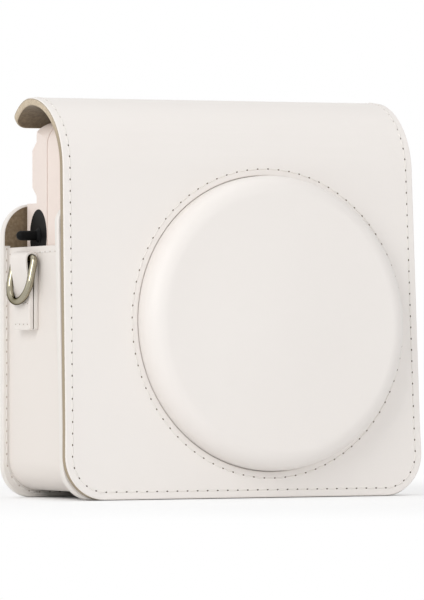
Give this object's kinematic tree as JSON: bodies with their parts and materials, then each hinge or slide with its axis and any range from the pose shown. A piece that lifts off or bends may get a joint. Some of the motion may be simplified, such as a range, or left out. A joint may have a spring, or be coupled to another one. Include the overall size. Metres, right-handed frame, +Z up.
{
  "type": "instant camera in fitted leather case",
  "caption": "Square-format instant camera in a stitched leather case with domed flip-up cover, D rings, twist-out lens and film drive.",
  "frame": {"origin": "middle of the footprint, on the surface that the case stands on", "axes": "+X to the viewer's right when facing the lens, +Y from the lens to the back, +Z up"},
  "size_m": [0.1394, 0.0608, 0.13],
  "materials": {
    "case_leather": "smooth, fine grain",
    "gusset_leather": "smooth, fine grain",
    "snap_metal": "enamel",
    "steel": "satin",
    "magnet": "plated",
    "ring_metal": "pale polished plate",
    "body_plastic": "satin",
    "ring_plastic": "satin",
    "lug_plastic": "matte",
    "clear_plastic": "clear",
    "dark_window": "gloss",
    "lens_glass": "polished",
    "mirror": "polished",
    "black_plastic": "matte",
    "film_paper": "smooth",
    "roller_metal": "ground",
    "gear_plastic": "satin",
    "cell_wrap": "gloss",
    "contact_metal": "satin",
    "button_plastic": "gloss",
    "board": "satin",
    "capacitor_can": "sleeved",
    "dial_plastic": "satin"
  },
  "bodies": {
    "camera": {"case_back": "case_leather", "case_gusset": "gusset_leather", "case_front": "case_leather", "hinge_tongue": "case_leather", "snap_caps": "snap_metal", "snap_studs": "steel", "clasp_plates": "steel", "strap_tab_left": "case_leather", "strap_tab_right": "case_leather", "front_shell": "body_plastic", "rear_shell": "body_plastic", "strap_lug_left": "lug_plastic", "strap_lug_right": "lug_plastic", "viewfinder_window": "clear_plastic", "viewfinder_tube": "black_plastic", "eyepiece": "clear_plastic", "flash_window": "clear_plastic", "flash_reflector": "mirror", "flash_tube": "lens_glass", "sensor_windows": "dark_window", "lens_mount": "black_plastic", "exposure_chamber": "black_plastic", "film_chassis": "black_plastic", "film_pack": "black_plastic", "film_stack": "film_paper", "drive_motor": "steel", "roller_plate_left": "steel", "roller_plate_right": "steel", "gear_plate": "steel", "film_door_pin": "steel", "battery_box": "black_plastic", "battery_cells": "cell_wrap", "battery_contacts": "contact_metal", "battery_door_pin": "steel", "circuit_board": "board", "flash_capacitor": "capacitor_can", "counter_window": "clear_plastic"},
    "cover": {"cover_panel": "case_leather", "lens_dome": "case_leather", "clasp_magnets": "magnet"},
    "d_ring_left": {"d_ring_left": "ring_metal"},
    "d_ring_right": {"d_ring_right": "ring_metal"},
    "lens_ring": {"lens_ring": "ring_plastic"},
    "lens_barrel": {"lens_barrel": "body_plastic", "front_lens": "lens_glass", "rear_lens": "lens_glass", "selfie_mirror": "mirror", "shutter_plate": "steel"},
    "shutter_blade": {"shutter_blade": "steel"},
    "shutter_button": {"shutter_button": "button_plastic"},
    "film_door": {"film_door": "body_plastic", "pressure_springs": "steel"},
    "film_door_latch": {"film_door_latch": "body_plastic"},
    "battery_door": {"battery_door": "body_plastic"},
    "drive_roller": {"drive_roller": "roller_metal"},
    "pinch_roller": {"pinch_roller": "roller_metal"},
    "first_gear": {"first_gear": "gear_plastic"},
    "second_gear": {"second_gear": "gear_plastic"},
    "motor_pinion": {"motor_pinion": "gear_plastic"},
    "counter_dial": {"counter_dial": "dial_plastic"}
  },
  "joints": [
    {"name": "cover_hinge", "type": "hinge", "parent": "camera", "child": "cover", "pos_m": [0, 0.02509, 0.11945], "axis": [-1, 0, 0], "range_deg": [0, 180]},
    {"name": "d_ring_left_swing", "type": "hinge", "parent": "camera", "child": "d_ring_left", "pos_m": [-0.0655, 0.00854, 0.078], "axis": [0, 1, 0], "range_deg": [0, 150]},
    {"name": "d_ring_right_swing", "type": "hinge", "parent": "camera", "child": "d_ring_right", "pos_m": [0.0655, 0.00854, 0.078], "axis": [0, -1, 0], "range_deg": [0, 150]},
    {"name": "lens_ring_turn", "type": "hinge", "parent": "camera", "child": "lens_ring", "pos_m": [0.0094, -0.00337, 0.0568], "axis": [0, 1, 0], "range_deg": [0, 75]},
    {"name": "lens_barrel_slide", "type": "slide", "parent": "camera", "child": "lens_barrel", "axis": [0, -1, 0], "range_m": [0, 0.0045]},
    {"name": "shutter_blade_swing", "type": "hinge", "parent": "lens_barrel", "child": "shutter_blade", "pos_m": [0.0254, -0.01141, 0.0568], "axis": [0, 1, 0], "range_deg": [0, 60], "stiffness_Nm_per_rad": 0.002, "springref_deg": -8.59},
    {"name": "shutter_button_press", "type": "slide", "parent": "camera", "child": "shutter_button", "axis": [0, 1, 0], "range_m": [0, 0.0012], "stiffness_N_per_m": 400, "springref_m": -0.0005},
    {"name": "film_door_hinge", "type": "hinge", "parent": "camera", "child": "film_door", "pos_m": [0.0522, 0.02484, 0.049], "axis": [0, 0, -1], "range_deg": [0, 95]},
    {"name": "film_door_latch_slide", "type": "slide", "parent": "film_door", "child": "film_door_latch", "axis": [-1, 0, 0], "range_m": [0, 0.003]},
    {"name": "battery_door_hinge", "type": "hinge", "parent": "camera", "child": "battery_door", "pos_m": [-0.0523, 0.02484, 0.0385], "axis": [0, 0, 1], "range_deg": [0, 95]},
    {"name": "drive_roller_spin", "type": "hinge", "parent": "camera", "child": "drive_roller", "pos_m": [0, 0.0053, 0.104], "axis": [1, 0, 0], "continuous": true},
    {"name": "pinch_roller_spin", "type": "hinge", "parent": "camera", "child": "pinch_roller", "pos_m": [0, -0.00142, 0.104], "axis": [1, 0, 0], "continuous": true},
    {"name": "first_gear_spin", "type": "hinge", "parent": "camera", "child": "first_gear", "pos_m": [0, 0.00367, 0.09791], "axis": [1, 0, 0], "continuous": true},
    {"name": "second_gear_spin", "type": "hinge", "parent": "camera", "child": "second_gear", "pos_m": [0, 0.00108, 0.09081], "axis": [1, 0, 0], "continuous": true},
    {"name": "motor_pinion_spin", "type": "hinge", "parent": "camera", "child": "motor_pinion", "pos_m": [0, -0.00291, 0.0839], "axis": [1, 0, 0], "continuous": true},
    {"name": "counter_dial_turn", "type": "hinge", "parent": "camera", "child": "counter_dial", "pos_m": [-0.044, 0.01863, 0.082], "axis": [0, 1, 0], "range_deg": [0, 300]}
  ],
  "couplings": [
    {"joint": "lens_barrel_slide", "follows": "lens_ring_turn", "m_per_rad": 0.0034377},
    {"joint": "pinch_roller_spin", "follows": "drive_roller_spin", "ratio": -1},
    {"joint": "first_gear_spin", "follows": "drive_roller_spin", "ratio": -1.1429},
    {"joint": "second_gear_spin", "follows": "drive_roller_spin", "ratio": 2.2857},
    {"joint": "motor_pinion_spin", "follows": "drive_roller_spin", "ratio": -6.4}
  ]
}
